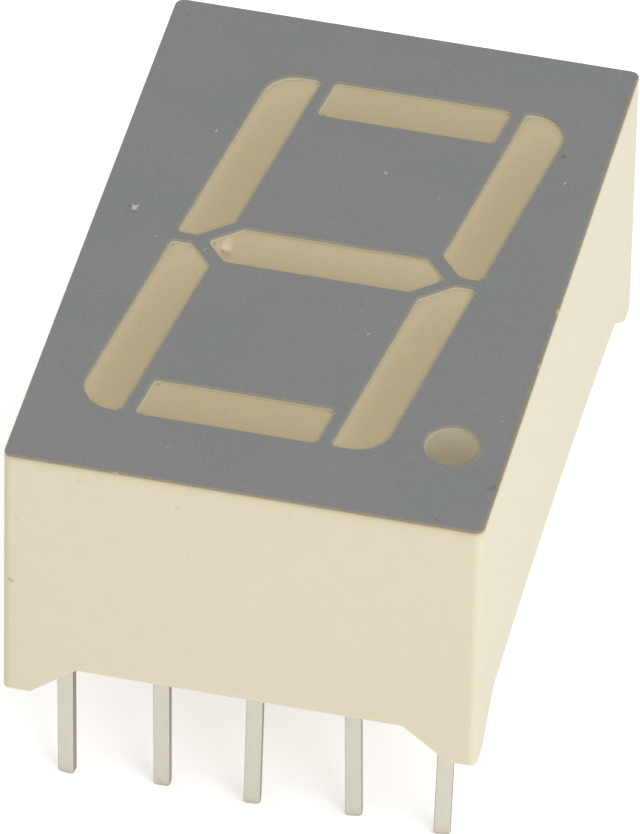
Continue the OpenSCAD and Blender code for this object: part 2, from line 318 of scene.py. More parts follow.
class Effects:
    """The shader groups that several finishes share.

    Attributes:
        fine: Width of the fine grain's waves, as a share of the mottling's.
        ragged: How much wider or narrower a mark is from place to place.
        core: The share of a mark's radius within which it has its full strength.
    """

    fine: float = 0.2
    ragged: Wander = Wander(0.07, 0.35, 2.0)
    core: float = 0.1

    def __init__(self) -> None:
        """Builds every group once."""
        number, vector = SocketKind.NUMBER, SocketKind.VECTOR
        self.grain = shader_group(
            "moulded_grain",
            {"Position": vector, "Cell": number},
            {"Mottle": number, "Height": number},
            self._draw_grain,
        )
        self.mark = shader_group(
            "small_mark",
            {"Position": vector, "Centre": vector, "Reach": vector, "Radius": number},
            {"Mask": number},
            self._draw_mark,
        )
        self.glow = shader_group(
            "edge_painted_light",
            {"Distances": vector, "Reaches": vector, "Gains": vector},
            {"Tone": number},
            self._draw_painted_light,
        )

    def _draw_grain(self, sheet: Sheet, given: Sockets) -> Sockets:
        """Draws broad mottling with waves of a given width, and a fine height.

        Args:
            sheet: The group's sheet.
            given: The group's inputs.

        Returns:
            The group's outputs.
        """
        broad = sheet.noise(given["Position"], given["Cell"], detail=4.0)
        fine_cell = sheet.times(given["Cell"], self.fine)
        return {"Mottle": broad, "Height": sheet.noise(given["Position"], fine_cell, detail=3.0)}

    def _draw_mark(self, sheet: Sheet, given: Sockets) -> Sockets:
        """Draws a ragged spot, or a stroke that reaches both ways from its centre.

        Args:
            sheet: The group's sheet.
            given: The group's inputs.

        Returns:
            The group's outputs.
        """
        offset = sheet.vector("SUBTRACT", given["Position"], given["Centre"])
        along = sheet.measure("DOT_PRODUCT", offset, given["Reach"])
        whole = sheet.measure("DOT_PRODUCT", given["Reach"], given["Reach"])
        share = sheet.held(sheet.math("DIVIDE", along, whole), -1.0, 1.0)
        distance = sheet.measure("DISTANCE", offset, sheet.scaled(given["Reach"], share))
        radius = sheet.times(given["Radius"], self.ragged.at(sheet, given["Position"]))
        fade = sheet.smooth(distance, sheet.times(radius, self.core), radius)
        return {"Mask": sheet.minus(1.0, fade)}

    def _draw_painted_light(self, sheet: Sheet, given: Sockets) -> Sockets:
        """Draws painted light: the sum of three fades, each from an edge of its own.

        Args:
            sheet: The group's sheet.
            given: The group's inputs.

        Returns:
            The group's outputs.
        """
        shares = sheet.vector("DIVIDE", given["Distances"], given["Reaches"])
        fades = [sheet.fading(share, 1.0) for share in sheet.split(shares)]
        return {"Tone": sheet.measure("DOT_PRODUCT", sheet.join(*fades), given["Gains"])}


@dataclass(frozen=True)
class Tint:
    """A tone that fades out away from an edge.

    Attributes:
        tone: Its colour.
        reach: How far in it fades.
        strength: How far it hides what is under it at the edge, from 0 to 1.
    """

    tone: Colour
    reach: float
    strength: float

    def over(self, sheet: Sheet, under: Wired, distance: Wired, spread: Wired = 1.0) -> Socket:
        """Lays the tone over a colour.

        Args:
            sheet: The material's sheet.
            under: The colour.
            distance: The shaded point's distance from the edge, in metres.
            spread: How much further than its reach the tone fades.

        Returns:
            The tinted colour.
        """
        reach = sheet.times(spread, self.reach * MM)
        mask = sheet.times(sheet.fading(distance, reach), self.strength)
        return sheet.blend(mask, under, self.tone)


class Facing(Enum):
    """The level surfaces that carry marks, by the axis that each one faces along."""

    SIDE = 0
    FRONT = 1
    FACE = 2

    def lift(self, pair: Pair, level: float) -> Point:
        """Returns the point of the surface at a level that has the other two coordinates given."""
        return (*pair[: self.value], level, *pair[self.value :])


@dataclass(frozen=True)
class Mark:
    """A small mark on a level surface: a speck, a scratch or a stain.

    Attributes:
        centre: Its middle, without the coordinate along which the surface faces.
        radius: Half its width.
        strength: How far it hides what is under it, from 0 to 1.
        reach: Half its length, as a vector. A round mark has none.
    """

    centre: Pair
    radius: float
    strength: float
    reach: Pair = (0.0, 0.0)


@dataclass(frozen=True)
class Marks:
    """Marks of one colour on one level surface.

    Attributes:
        tone: Their colour.
        facing: The way that the surface faces.
        spots: The marks.
    """

    tone: Colour
    facing: Facing
    spots: tuple[Mark, ...]


@dataclass(frozen=True)
class Skin:
    """How a finish takes the light.

    Attributes:
        cell: Width of the waves of its mottling.
        smooth: Its roughness where its mottling is lowest.
        rough: Its roughness where its mottling is highest.
        bump: How far its fine grain stands out.
        speckle: The largest share of its light that a tiny patch gains or loses.
        gloss: Strength of its clear shine.
        metal: How far it shines like bare metal, from 0 to 1.
        milkiness: The share of its light that has been inside it.
        depth: How far light goes inside it.
        bleed: How far red, green and blue go, as shares of that depth.
    """

    cell: float
    smooth: float
    rough: float
    bump: float = 0.0
    speckle: float = 0.0
    gloss: float = 0.5
    metal: float = 0.0
    milkiness: float = 0.0
    depth: float = 0.1
    bleed: Point = (1.0, 1.0, 1.0)


@dataclass(frozen=True)
class Finish:
    """What every finish has, and how its material is made.

    Attributes:
        effects: The shared shader groups.
        name: The material's name.
        skin: How it takes the light.
        patch: Width of its speckles.
        feather: How the fade of its outlines bends from place to place.
    """

    effects: Effects
    name: str
    skin: Skin
    patch: float = 0.045
    feather: Wander = Wander(0.25, 0.8, 2.2)

    def build(self) -> bpy.types.Material:
        """Returns the material."""
        material = bpy.data.materials.new(self.name)
        material.use_nodes = True
        sheet = Sheet(material.node_tree)
        skin = self.skin
        grain = sheet.use(self.effects.grain, Position=sheet.place(), Cell=skin.cell)
        mottle = grain["Mottle"]
        inputs = {
            "Base Color": self.speckled(sheet, self.colour(sheet, mottle)),
            "Metallic": skin.metal,
            "Roughness": skin.rough,
            "Specular IOR Level": skin.gloss,
            "Subsurface Weight": skin.milkiness,
            "Subsurface Radius": skin.bleed,
            "Subsurface Scale": skin.depth * MM,
        }
        if skin.smooth < skin.rough:
            inputs["Roughness"] = sheet.lerp(self.wear(sheet, mottle), skin.smooth, skin.rough)
        if skin.bump:
            height = self.relief(sheet, grain["Height"])
            bump = sheet.add("ShaderNodeBump", {"Height": height, "Distance": MM})
            inputs["Normal"] = bump.outputs["Normal"]
        shader = material.node_tree.nodes["Principled BSDF"]
        for name, value in inputs.items():
            sheet.plug(shader.inputs[name], value)
        return material

    def colour(self, sheet: Sheet, mottle: Socket) -> Socket:
        """Returns the finish's colour, given its mottling."""
        raise NotImplementedError

    def wear(self, sheet: Sheet, mottle: Socket) -> Socket:
        """Returns what its roughness follows, given its mottling. Here it is the mottling itself."""
        return mottle

    def relief(self, sheet: Sheet, fine: Socket) -> Socket:
        """Returns how far the surface stands out, in millimetres, given its fine grain's height."""
        return sheet.times(fine, self.skin.bump)

    def speckled(self, sheet: Sheet, colour: Socket) -> Socket:
        """Makes a colour lighter and darker from one tiny patch to the next.

        Args:
            sheet: The material's sheet.
            colour: The colour.

        Returns:
            The speckled colour.
        """
        depth = self.skin.speckle
        if not depth:
            return colour
        patches = sheet.noise(sheet.place(), self.patch, detail=1.0)
        return sheet.scaled(colour, sheet.lerp(patches, 1.0 - depth, 1.0 + depth))

    def feathered(self, sheet: Sheet, side: float = 1.0) -> Socket:
        """Returns a mask that is 1 on the outlines that face forwards, or with -1 on the others."""
        near = sheet.math("MAXIMUM", sheet.times(sheet.nearness(), side), 0.0)
        return sheet.math("POWER", near, self.feather.at(sheet, sheet.place()))

    def marked(self, sheet: Sheet, under: Wired, marks: Marks, level: float) -> Wired:
        """Lays marks over a surface.

        Args:
            sheet: The material's sheet.
            under: The surface's colour.
            marks: The marks.
            level: Where the surface is, along the axis that it faces along.

        Returns:
            The marked colour.
        """
        position = sheet.place()
        for mark in marks.spots:
            mask = sheet.use(
                self.effects.mark,
                Position=position,
                Centre=metres(marks.facing.lift(mark.centre, level)),
                Reach=metres(marks.facing.lift(mark.reach, 0.0)),
                Radius=mark.radius * MM,
            )["Mask"]
            under = sheet.blend(sheet.times(mask, mark.strength), under, marks.tone)
        return under


@dataclass(frozen=True)
class MouldedPlastic(Finish):
    """The housing's cream plastic.

    Attributes:
        pale: Its lighter tone.
        deep: Its darker tone.
        wall_tone: Its darker tone on the walls of the windows, just under the face.
        rim: Its darker tone on the rims of the windows.
        wall_depth: How deep under the face the walls of the windows reach.
        rim_depth: How deep under the face the rims of the windows are.
        crust: How near to an outer wall a point is on that wall.
        seam: The warm tones along the top of the walls, darkest right under the print.
        seam_width: How much wider or narrower they are from place to place.
        front_grime: The specks on its front wall.
        side_grime: The specks on its right wall.
    """

    name: str = "cream_plastic"
    skin: Skin = Skin(
        cell=0.6,
        smooth=0.55,
        rough=0.68,
        bump=0.0015,
        speckle=0.06,
        gloss=0.3,
        milkiness=0.3,
        depth=0.3,
        bleed=(1.0, 0.72, 0.4),
    )
    pale: Colour = srgb(231, 223, 198)
    deep: Colour = srgb(227, 219, 192)
    wall_tone: Colour = srgb(201, 191, 165)
    rim: Colour = srgb(188, 179, 155)
    wall_depth: float = 0.2
    rim_depth: float = 0.03
    crust: float = 0.4
    seam: tuple[Tint, ...] = (
        Tint(srgb(224, 204, 158), 0.13, 0.65),
        Tint(srgb(176, 150, 114), 0.05, 0.95),
    )
    seam_width: Wander = Wander(0.5, 0.6, 1.4)
    front_grime: Marks = Marks(
        srgb(120, 105, 85),
        Facing.FRONT,
        (
            Mark((-5.93, 5.91), 0.06, 0.15),
            Mark((-6.07, 3.77), 0.075, 0.4, (0.03, -0.01)),
            Mark((-1.69, 7.17), 0.08, 0.16),
            Mark((-2.06, 7.65), 0.09, 0.06),
            Mark((-4.27, 7.55), 0.1, 0.09),
            Mark((1.28, 7.55), 0.09, 0.06),
            Mark((-1.41, 5.58), 0.06, 0.08),
        ),
    )
    side_grime: Marks = Marks(
        srgb(120, 105, 85),
        Facing.SIDE,
        (
            Mark((-6.65, 4.3), 0.09, 0.25),
            Mark((-7.94, 2.91), 0.06, 0.2),
        ),
    )

    def colour(self, sheet: Sheet, mottle: Socket) -> Socket:
        """Returns cream that is warmer under the print's edge and duller in the windows.

        Args:
            sheet: The material's sheet.
            mottle: Its mottling.

        Returns:
            The colour.
        """
        half_w, half_l, _ = highest("housing")
        position = sheet.place()
        x, y, z = sheet.split(position)
        depth = sheet.minus(highest("face_print")[2] * MM, z)
        colour = sheet.blend(mottle, self.pale, self.deep)
        width = self.seam_width.at(sheet, position)
        for tint in self.seam:
            colour = tint.over(sheet, colour, depth, width)
        off_sides = sheet.below(sheet.size(x), (half_w - self.crust) * MM)
        off_ends = sheet.below(sheet.size(y), (half_l - self.crust) * MM)
        inside = sheet.times(off_sides, off_ends)
        # Darker tones on the walls and rims of the windows, just under the face.
        for reach, tone in ((self.wall_depth, self.wall_tone), (self.rim_depth, self.rim)):
            shallow = sheet.below(depth, reach * MM)
            colour = sheet.blend(sheet.times(shallow, inside), colour, tone)
        colour = self.marked(sheet, colour, self.front_grime, -half_l)
        return self.marked(sheet, colour, self.side_grime, half_w)


@dataclass(frozen=True)
class PrintedInk(Finish):
    """The grey layer printed on the face.

    Attributes:
        tone: Its lighter tone.
        shade: Its darker tone.
        cloud: Width of the clouds between the two.
        front_edge: Its tone where it thins out along its front edge.
        right_edge: Its tone where it thins out along its right edge.
        window_edge: Its tone where it thins out around the windows.
        border: How near to an outer edge a point belongs to that edge.
        chips: Where its edge is chipped and the housing shows.
        dust: Its pale specks and scratches.
        soot_and_speck_shadow: Its dark specks, and the painted shadow beside and below its largest pale
            speck.
    """

    name: str = "grey_ink"
    skin: Skin = Skin(cell=0.3, smooth=0.5, rough=0.62, bump=0.004, speckle=0.24, gloss=0.35)
    tone: Colour = srgb(133, 133, 129)
    shade: Colour = srgb(124, 128, 130)
    cloud: float = 2.5
    front_edge: Colour = srgb(172, 150, 124)
    right_edge: Colour = srgb(158, 150, 134)
    window_edge: Colour = srgb(158, 151, 133)
    border: float = 0.3
    chips: Marks = Marks(
        srgb(226, 208, 172),
        Facing.FACE,
        (
            Mark((6.29, -0.54), 0.07, 0.9, (0.0, 0.05)),
            Mark((6.29, -2.76), 0.06, 0.8, (0.0, 0.04)),
            Mark((-3.33, -9.52), 0.05, 0.7, (0.04, 0.0)),
            Mark((6.3, 3.9), 0.05, 0.6),
        ),
    )
    dust: Marks = Marks(
        srgb(200, 198, 188),
        Facing.FACE,
        (
            Mark((-5.345, 0.81), 0.1, 0.95),
            Mark((-5.39, 0.89), 0.045, 0.8, (-0.02, 0.035)),
            Mark((-5.31, 0.91), 0.05, 0.85, (0.018, 0.04)),
            Mark((-4.01, 4.41), 0.035, 0.7, (0.0, 0.045)),
            Mark((0.7, 3.82), 0.05, 0.75, (-0.02, 0.01)),
            Mark((2.27, 3.18), 0.045, 0.45),
            Mark((5.34, 4.57), 0.05, 0.7),
            Mark((1.7, -2.61), 0.05, 0.6),
            Mark((1.3, -1.76), 0.04, 0.35),
            Mark((5.81, -5.12), 0.04, 0.4),
            Mark((-2.27, -8.19), 0.045, 0.35),
            Mark((0.48, 1.97), 0.04, 0.2),
            Mark((-4.53, -0.14), 0.045, 0.4),
            Mark((5.42, 6.16), 0.04, 0.15),
            Mark((6.03, 4.08), 0.04, 0.2),
            Mark((-4.61, 3.09), 0.025, 0.09, (0.22, 0.08)),
            Mark((-3.18, -0.36), 0.035, 0.35, (0.03, 0.055)),
        ),
    )
    soot_and_speck_shadow: Marks = Marks(
        srgb(76, 70, 62),
        Facing.FACE,
        (
            # The first two are painted shadow of the largest pale speck, below it and to its left.
            Mark((-5.35, 0.7), 0.12, 0.2, (0.07, 0.0)),
            Mark((-5.465, 0.87), 0.06, 0.4),
            Mark((-5.83, 8.9), 0.045, 0.6),
            Mark((5.07, 5.63), 0.05, 0.75, (0.03, -0.02)),
            Mark((5.42, 4.53), 0.05, 0.55),
            Mark((4.52, 3.25), 0.06, 0.6),
            Mark((1.45, 8.61), 0.045, 0.5),
            Mark((5.01, -9.25), 0.045, 0.6),
            Mark((6.14, -7.7), 0.13, 0.3, (0.06, 0.04)),
        ),
    )

    def colour(self, sheet: Sheet, mottle: Socket) -> Socket:
        """Returns cloudy grey with specks, that thins out at its edges.

        Args:
            sheet: The material's sheet.
            mottle: Its mottling.

        Returns:
            The colour.
        """
        level = highest("face_print")[2]
        clouds = sheet.noise(sheet.place(), self.cloud)
        colour = sheet.blend(clouds, self.shade, self.tone)
        colour = self.marked(sheet, colour, self.soot_and_speck_shadow, level)
        colour = self.marked(sheet, colour, self.dust, level)
        colour = sheet.blend(self.feathered(sheet), colour, self._edge_tone(sheet, colour))
        return self.marked(sheet, colour, self.chips, level)

    def _edge_tone(self, sheet: Sheet, plain: Socket) -> Socket:
        """Returns the tone that the print fades to at the edge that a point is near.

        Args:
            sheet: The material's sheet.
            plain: The print's own colour, kept along its left and back edges.

        Returns:
            The colour.
        """
        half_w, half_l, _ = highest("face_print")
        side = (half_w - self.border) * MM
        end = (half_l - self.border) * MM
        x, y, _ = sheet.split(sheet.place())
        tone = sheet.blend(sheet.above(y, end), self.window_edge, plain)
        tone = sheet.blend(sheet.below(x, -side), tone, plain)
        tone = sheet.blend(sheet.above(x, side), tone, self.right_edge)
        return sheet.blend(sheet.below(y, -end), tone, self.front_edge)


@dataclass(frozen=True)
class DigitLayout:
    """Where the windows of the digit lie, before the slant.

    Attributes:
        digit_h: Height of the digit.
        digit_w: Width of the digit.
        upright_w: Width of the upright strokes.
        level_h: Height of the level strokes.
        gap: Clear distance between strokes.
        waist: Flat end that an upright stroke keeps at the middle of the digit.
        slant: Slant of the digit, in degrees.
        point_d: Diameter of the decimal point.
        point_gap: Clear distance between the last stroke and the decimal point.
    """

    digit_h: float = 14.25
    digit_w: float = 8.17
    upright_w: float = 1.33
    level_h: float = 1.44
    gap: float = 0.34
    waist: float = 0.585
    slant: float = 8.0
    point_d: float = 1.51
    point_gap: float = 0.87

    @property
    def top(self) -> float:
        """Returns the height of the digit's upper edge above its middle."""
        return self.digit_h / 2

    @property
    def outer(self) -> float:
        """Returns the distance of the upright strokes' outer edges from the middle."""
        return self.digit_w / 2

    @property
    def inner(self) -> float:
        """Returns the distance of the upright strokes' inner edges from the middle."""
        return self.outer - self.upright_w

    @property
    def diagonal(self) -> float:
        """Returns the sum of the coordinates along the diagonal gaps at the middle stroke."""
        return self.outer - self.waist + self.gap / 2 - self.gap / math.sqrt(2)

    @property
    def tip(self) -> float:
        """Returns the distance of the middle stroke's tips from the middle."""
        return self.diagonal - self.gap / math.sqrt(2)

    @property
    def point_left(self) -> float:
        """Returns where the decimal point's left edge is."""
        return self.outer + self.point_gap

    @property
    def point_top(self) -> float:
        """Returns the height of the decimal point's upper edge above the digit's middle."""
        return self.point_d - self.top


@dataclass(frozen=True)
class PaintedBarLight:
    """Painted light along the edges of a kind of window.

    Attributes:
        gains: How much lighter the epoxy is at the left, upper and lower edges.
        reaches: How far in each of those fades.
    """

    gains: Point
    reaches: Point


@dataclass(frozen=True)
class CastEpoxy(Finish):
    """The tinted, milky epoxy that fills the light funnels and the back, with painted light and shade in
    its windows.

    Attributes:
        layout: Where the windows lie.
        milky: Its milky tone, which is also the lighter tone of the painted light in its windows.
        deep: Its tone at the back and over the rest of a stroke, away from the painted light.
        veil: How far its mottling lightens it.
        point_lit: The lighter tone of the painted light and shade in the decimal point.
        point_shaded: The darker tone of the painted light and shade in the decimal point.
        shaded_outline: Its painted shade along the front and right outlines of the windows, and along
            the walls and leads at the back.
        lit_outline: Its painted highlight along the other outlines of the windows.
        lit_share: How far that tone hides what is under it.
        core_level: Height below which there is no window.
        mark_lift: How high over the windows the middles of its marks are.
        creep: How high the back creeps up along the walls and the leads.
        creep_bend: How sharply it bends up to them.
        uprights: The painted light in the upright strokes.
        levels: The painted light in the upper and lower strokes.
        middle: The painted light in the middle stroke.
        point: The painted light in the decimal point.
        least: The least that the painted light may be.
        most: The most that the painted light may be.
        blush: The pale spots in the middle stroke.
        scorch: The brown spot in the middle stroke.
    """

    name: str = "milky_epoxy"
    skin: Skin = Skin(
        cell=0.5,
        smooth=0.3,
        rough=0.42,
        bump=0.002,
        speckle=0.15,
        milkiness=0.15,
        depth=0.2,
        bleed=(1.0, 0.8, 0.5),
    )
    layout: DigitLayout = DigitLayout()
    milky: Colour = srgb(196, 181, 142)
    deep: Colour = srgb(180, 163, 124)
    veil: float = 0.16
    point_lit: Colour = srgb(178, 171, 150)
    point_shaded: Colour = srgb(143, 132, 101)
    shaded_outline: Colour = srgb(174, 163, 138)
    lit_outline: Colour = srgb(188, 181, 160)
    lit_share: float = 0.6
    core_level: float = 2.6
    mark_lift: float = 0.02
    creep: float = 0.1
    creep_bend: float = 2.0
    uprights: PaintedBarLight = PaintedBarLight((1.38, 1.32, 0.0), (0.28, 1.24, 1.0))
    levels: PaintedBarLight = PaintedBarLight((0.4, 0.75, -0.7), (0.28, 1.0, 0.25))
    middle: PaintedBarLight = PaintedBarLight((0.5, 1.2, -0.7), (0.4, 1.2, 0.25))
    point: PaintedBarLight = PaintedBarLight((0.55, 1.05, -0.3), (0.25, 0.5, 0.5))
    least: float = -0.5
    most: float = 1.7
    blush: Marks = Marks(
        srgb(230, 210, 184),
        Facing.FACE,
        (
            Mark((-2.69, 0.12), 0.17, 0.35, (0.0, 0.22)),
            Mark((-2.64, -0.05), 0.17, 0.55),
            Mark((-2.73, 0.01), 0.07, 0.6, (0.0, 0.03)),
            Mark((-0.93, -0.66), 0.045, 0.6),
            Mark((-0.6, -0.6), 0.035, 0.4),
        ),
    )
    scorch: Marks = Marks(
        srgb(170, 135, 90),
        Facing.FACE,
        (
            Mark((-2.61, -0.38), 0.14, 0.35, (-0.06, 0.04)),
            Mark((-2.71, -0.25), 0.065, 0.85, (-0.03, 0.045)),
            Mark((-2.565, -0.305), 0.06, 0.9, (0.015, -0.015)),
        ),
    )

    def colour(self, sheet: Sheet, mottle: Socket) -> Socket:
        """Returns tan with painted light along the windows' upper and left edges, painted shade towards
        their lower edges, and painted shade and highlight along the outlines.

        Args:
            sheet: The material's sheet.
            mottle: Its mottling.

        Returns:
            The colour.
        """
        x, y = self._before_slant(sheet)
        # Painted light and shade: lighter along the windows' upper and left edges, darker towards their
        # lower edges.
        colour = sheet.blend(self._stroke_painted_light(sheet, x, y), self.deep, self.milky)
        spot = sheet.blend(self._point_painted_light(sheet, x, y), self.point_shaded, self.point_lit)
        halfway = (self.layout.outer + self.layout.point_left) / 2
        colour = sheet.blend(sheet.above(x, halfway * MM), colour, spot)
        colour = sheet.blend(self._at_back(sheet), colour, self.deep)
        colour = sheet.blend(sheet.times(mottle, self.veil), colour, self.milky)
        level = highest("epoxy_fill")[2] + self.mark_lift
        for marks in (self.blush, self.scorch):
            colour = self.marked(sheet, colour, marks, level)
        # Painted shade along the front and right outlines and where the back meets the walls and leads;
        # painted highlight along the other outlines.
        colour = sheet.blend(self.feathered(sheet), colour, self.shaded_outline)
        lit = sheet.times(self.feathered(sheet, -1.0), self.lit_share)
        return sheet.blend(lit, colour, self.lit_outline)

    def relief(self, sheet: Sheet, fine: Socket) -> Socket:
        """Returns the fine grain's height, and at the back also that of its creep."""
        crept = sheet.times(sheet.math("POWER", sheet.nearness(), self.creep_bend), self.creep)
        return sheet.plus(super().relief(sheet, fine), sheet.times(crept, self._at_back(sheet)))

    def _at_back(self, sheet: Sheet) -> Socket:
        """Returns 1 at the back, and 0 in the windows."""
        return sheet.below(sheet.split(sheet.place())[2], self.core_level * MM)

    def _before_slant(self, sheet: Sheet) -> tuple[Socket, Socket]:
        """Finds where the shaded point was before the slant.

        Args:
            sheet: The material's sheet.

        Returns:
            Its X and its Y there.
        """
        x, y, _ = sheet.split(sheet.place())
        lean = sheet.times(y, math.tan(math.radians(self.layout.slant)))
        return sheet.minus(x, lean), y

    def _painted_light(self, sheet: Sheet, glow: PaintedBarLight, left: Wired, top: Wired, bottom: Wired) -> Socket:
        """Returns a window's painted light at given distances from its edges.

        Args:
            sheet: The material's sheet.
            glow: The painted light in it.
            left: Distance from its left edge.
            top: Distance from its upper edge.
            bottom: Distance from its lower edge.

        Returns:
            How far the epoxy is painted from its deep tone towards its milky one.
        """
        gathered = sheet.use(
            self.effects.glow,
            Distances=sheet.join(left, top, bottom),
            Reaches=metres(glow.reaches),
            Gains=glow.gains,
        )
        return sheet.held(gathered["Tone"], self.least, self.most)

    def _stroke_painted_light(self, sheet: Sheet, x: Socket, y: Socket) -> Socket:
        """Returns the painted light in every stroke.

        Args:
            sheet: The material's sheet.
            x: The shaded point's X before the slant.
            y: The shaded point's Y.

        Returns:
            How far the epoxy is painted from its deep tone towards its milky one.
        """
        plan = self.layout
        off_x = sheet.size(x)
        off_y = sheet.size(y)
        upper = sheet.above(y, 0.0)

        left = sheet.lerp(sheet.above(x, 0.0), -plan.outer * MM, plan.inner * MM)
        top = sheet.lerp(upper, -plan.gap / 2 * MM, plan.top * MM)
        upright = self._painted_light(sheet, self.uprights, sheet.minus(x, left), sheet.minus(top, y), 0.0)

        end = (plan.inner - plan.gap) * MM
        top = sheet.lerp(upper, (plan.level_h - plan.top) * MM, plan.top * MM)
        to_top = sheet.minus(top, y)
        to_bottom = sheet.minus(plan.level_h * MM, to_top)
        level = self._painted_light(sheet, self.levels, sheet.plus(x, end), to_top, to_bottom)

        half = plan.level_h / 2 * MM
        to_tip = sheet.minus(sheet.plus(x, plan.tip * MM), off_y)
        middle = self._painted_light(sheet, self.middle, to_tip, sheet.minus(half, y), sheet.plus(half, y))

        in_middle = sheet.below(off_y, plan.level_h * MM)
        past_end = sheet.above(off_x, (plan.inner - plan.gap / 2) * MM)
        past_diagonal = sheet.above(sheet.plus(off_x, off_y), plan.diagonal * MM)
        in_upright = sheet.times(past_end, past_diagonal)
        return sheet.lerp(in_upright, sheet.lerp(in_middle, level, middle), upright)

    def _point_painted_light(self, sheet: Sheet, x: Socket, y: Socket) -> Socket:
        """Returns the painted light and shade in the decimal point.

        Args:
            sheet: The material's sheet.
            x: The shaded point's X before the slant.
            y: The shaded point's Y.

        Returns:
            How far the epoxy is painted from its darker tone there towards its lighter one.
        """
        plan = self.layout
        left = sheet.minus(x, plan.point_left * MM)
        top = sheet.minus(plan.point_top * MM, y)
        return self._painted_light(sheet, self.point, left, top, sheet.minus(plan.point_d * MM, top))


@dataclass(frozen=True)
class TinPlate(Finish):
    """The satin tin plate on the leads.

    Attributes:
        bright: Its cleaner tone.
        dull: Its duller tone.
        streak: Width of its rolled streaks.
        streak_squeeze: How much its streaks are squeezed lengthways before they are read.
        stain: The tone of its stains.
        bloom_start: The mottling at which it starts to stain.
        bloom_end: The mottling at which it is most stained.
        bloom: How far it is stained there.
        tip: The tone that the cut leaves at the tips.
        row_front: Where the front pins' plated faces are.
        spots: The stains and dents on the front pins.
    """

    name: str = "satin_tin"
    skin: Skin = Skin(cell=0.25, smooth=0.38, rough=0.5, bump=0.002, speckle=0.1, metal=0.85)
    bright: Colour = srgb(211, 208, 194)
    dull: Colour = srgb(202, 198, 185)
    streak: float = 0.09
    streak_squeeze: float = 0.15
    stain: Colour = srgb(128, 112, 100)
    bloom_start: float = 0.62
    bloom_end: float = 0.8
    bloom: float = 0.14
    tip: Tint = Tint(srgb(168, 158, 144), 0.12, 0.75)
    row_front: float = -7.745
    spots: tuple[Mark, ...] = (
        Mark((0.0, -4.18), 0.08, 0.5, (0.05, 0.0)),
        Mark((-2.5, -3.98), 0.05, 0.25),
        Mark((-2.44, -4.13), 0.04, 0.4),
        Mark((2.64, -1.41), 0.05, 0.6),
        Mark((2.72, -3.26), 0.06, 0.3),
        Mark((-5.01, -4.22), 0.08, 0.3),
    )

    def wear(self, sheet: Sheet, mottle: Socket) -> Socket:
        """Returns the mean of the mottling and of streaks along the pins.

        Args:
            sheet: The material's sheet.
            mottle: Its mottling.

        Returns:
            How worn the tin is, from 0 to 1.
        """
        x, y, z = sheet.split(sheet.place())
        drawn = sheet.join(x, y, sheet.times(z, self.streak_squeeze))
        return sheet.times(sheet.plus(sheet.noise(drawn, self.streak), mottle), 0.5)

    def colour(self, sheet: Sheet, mottle: Socket) -> Socket:
        """Returns grey tin that is stained in places and duller at the tips.

        Args:
            sheet: The material's sheet.
            mottle: Its mottling.

        Returns:
            The colour.
        """
        z = sheet.split(sheet.place())[2]
        colour = sheet.blend(self.wear(sheet, mottle), self.dull, self.bright)
        stained = sheet.smooth(mottle, self.bloom_start, self.bloom_end)
        colour = sheet.blend(sheet.times(stained, self.bloom), colour, self.stain)
        colour = self.tip.over(sheet, colour, sheet.minus(z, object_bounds()[0][2]))
        spots = Marks(self.stain, Facing.FRONT, self.spots)
        return self.marked(sheet, colour, spots, self.row_front)


@dataclass(frozen=True)
class ShearedTinAndShade(TinPlate):
    """The duller metal of the leads' shear-cut sides and tips, also laid on the pins' rounded edges as
    painted shade.
    """

    name: str = "sheared_tin_and_shade"
    skin: Skin = replace(TinPlate.skin, gloss=0.15, metal=0.2)
    bright: Colour = srgb(166, 158, 142)
    dull: Colour = srgb(152, 144, 128)
    spots: tuple[Mark, ...] = ()


@dataclass(frozen=True)
class DieCrystal(Finish):
    """The dark red crystal of the light-emitting dice.

    Attributes:
        body: Its tone.
        sawn: The tone of its sawn streaks.
    """

    name: str = "die_crystal"
    skin: Skin = Skin(cell=0.08, smooth=0.25, rough=0.25, bump=0.002)
    body: Colour = srgb(112, 38, 34)
    sawn: Colour = srgb(146, 74, 62)

    def colour(self, sheet: Sheet, mottle: Socket) -> Socket:
        """Returns dark red with paler sawn streaks."""
        return sheet.blend(mottle, self.body, self.sawn)


@dataclass(frozen=True)
class DrawnGold(Finish):
    """The gold of the bond wires.

    Attributes:
        bright: Its cleaner tone.
        soft: Its softer tone.
    """

    name: str = "drawn_gold"
    skin: Skin = Skin(cell=0.04, smooth=0.28, rough=0.28, metal=1.0)
    bright: Colour = srgb(255, 214, 130)
    soft: Colour = srgb(232, 186, 100)

    def colour(self, sheet: Sheet, mottle: Socket) -> Socket:
        """Returns gold between its two tones."""
        return sheet.blend(mottle, self.soft, self.bright)


def shown(name: str, shape: bmesh.types.BMesh, *materials: bpy.types.Material) -> bpy.types.Object:
    """Makes an object of a shape.

    Args:
        name: The object's name.
        shape: Its shape, which is used up.
        *materials: Its finishes. With more than one, its faces say which they take.

    Returns:
        The object.
    """
    mesh = bpy.data.meshes.new(name)
    shape.to_mesh(mesh)
    shape.free()
    for material in materials:
        mesh.materials.append(material)
    made = bpy.data.objects.new(name, mesh)
    bpy.context.scene.collection.objects.link(made)
    return made


